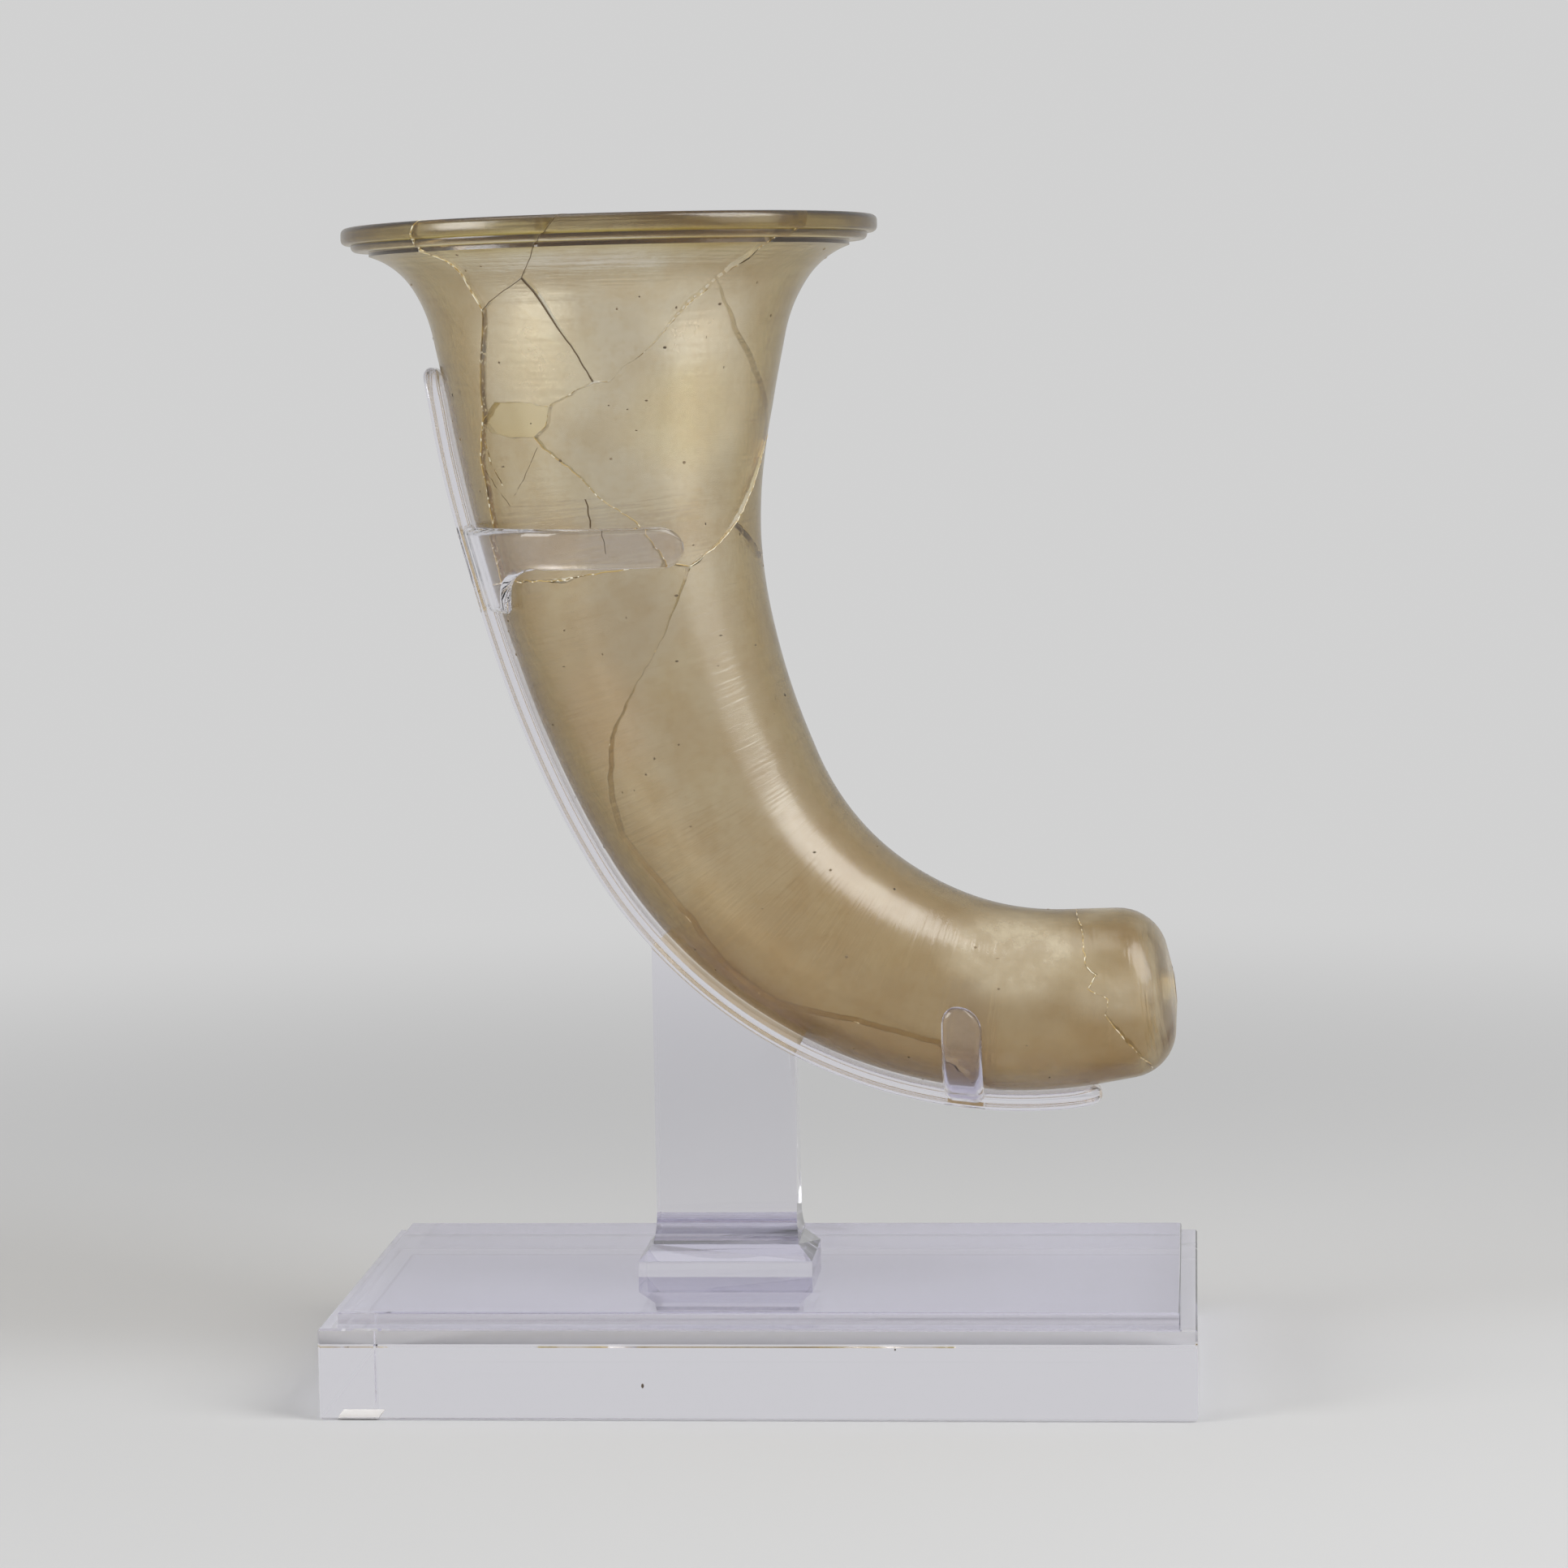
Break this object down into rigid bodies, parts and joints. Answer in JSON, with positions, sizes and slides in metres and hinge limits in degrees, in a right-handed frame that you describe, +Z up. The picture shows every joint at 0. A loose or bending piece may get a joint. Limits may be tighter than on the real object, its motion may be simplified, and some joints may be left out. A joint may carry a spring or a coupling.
{
  "type": "rhyton drinking cup",
  "caption": "Horn-shaped glass drinking cup with a flared, stepped mouth and a blunt pierced tip, mended from sherds, lying in a fitted clear stand that it lifts out of.",
  "frame": {"origin": "middle of the stand's underside", "axes": "+Z up along the mouth's axis, +X from the mouth towards the tip, -Y towards the viewer"},
  "size_m": [0.1818, 0.1136, 0.2463],
  "materials": {
    "weathered_glass": "weathered, half frosted, honey to olive brown",
    "fill_resin": "clear yellowed casting resin",
    "clear_acrylic": "clear polished acrylic with a faint lavender tint"
  },
  "bodies": {
    "stand": {"cradle_strap": "clear_acrylic", "front_arm": "clear_acrylic", "rear_arm": "clear_acrylic", "front_prong": "clear_acrylic", "rear_prong": "clear_acrylic", "post": "clear_acrylic", "post_foot": "clear_acrylic", "base_plate": "clear_acrylic", "base_block": "clear_acrylic"},
    "vessel": {"rim_left_sherd": "weathered_glass", "rim_wedge_sherd": "weathered_glass", "rim_front_sherd": "weathered_glass", "rim_right_sherd": "weathered_glass", "rim_back_sherd": "weathered_glass", "neck_small_sherd": "weathered_glass", "neck_front_sherd": "weathered_glass", "neck_lower_sherd": "weathered_glass", "resin_fill": "fill_resin", "throat_sherd": "weathered_glass", "horn_sherd": "weathered_glass", "underside_sherd": "weathered_glass", "tip_sherd": "weathered_glass"}
  },
  "joints": [
    {"name": "vessel_lift", "type": "slide", "parent": "stand", "child": "vessel", "axis": [-0.0995, 0, 0.995], "range_m": [0, 0.165]}
  ]
}
